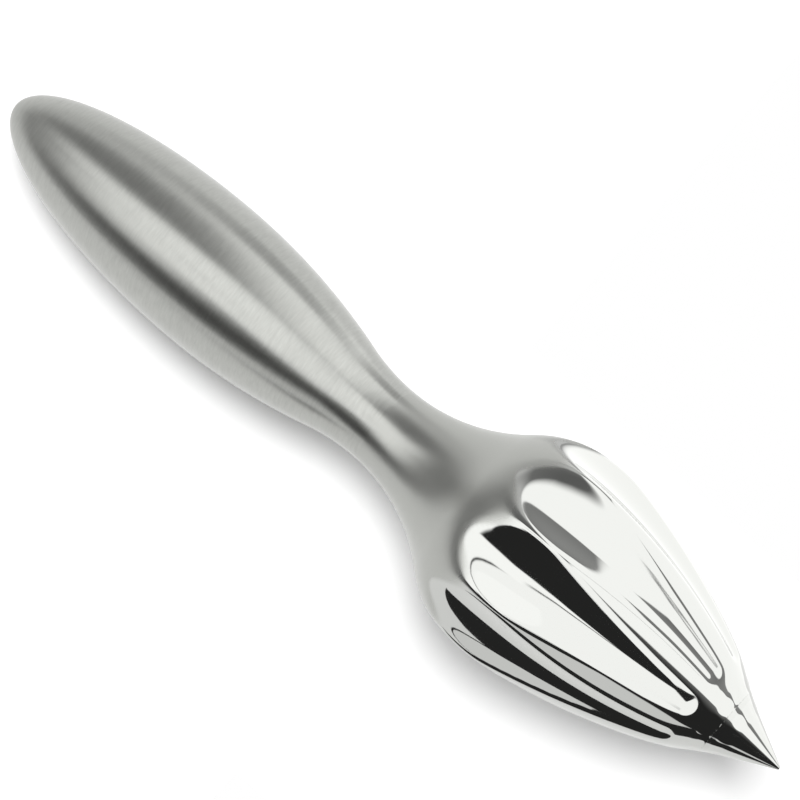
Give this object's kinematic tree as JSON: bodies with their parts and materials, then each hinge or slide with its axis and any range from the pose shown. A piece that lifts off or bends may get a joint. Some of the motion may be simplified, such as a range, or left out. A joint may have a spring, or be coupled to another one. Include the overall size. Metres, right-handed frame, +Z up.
{
  "type": "hand citrus reamer",
  "caption": "Rigid hand reamer for citrus in stainless steel: satin spindle handle, waisted neck, mirror-polished fluted conical head and a plain turned point.",
  "frame": {"origin": "on the floor, midway along and across the box that the tool takes up as it lies on its belly and on two ridges of the head", "axes": "+X runs along the tool towards its point, +Z is up, +Y is to the left when facing the point's way; the tool's own axis rises a little towards the point"},
  "size_m": [0.1744, 0.0408, 0.0405],
  "materials": {
    "satin_steel": "stainless steel, brushed round the axis to a satin",
    "polished_steel": "stainless steel, mirror polished",
    "mill_steel": "stainless steel tube, mill finish, hidden"
  },
  "bodies": {
    "root": {"handle_shell_upper": "satin_steel", "handle_shell_lower": "satin_steel", "handle_seam_weld": "satin_steel", "neck_sleeve": "mill_steel", "neck_ring_weld": "satin_steel", "reamer_head": "polished_steel", "point_ring_weld": "polished_steel", "point": "polished_steel"}
  },
  "joints": []
}
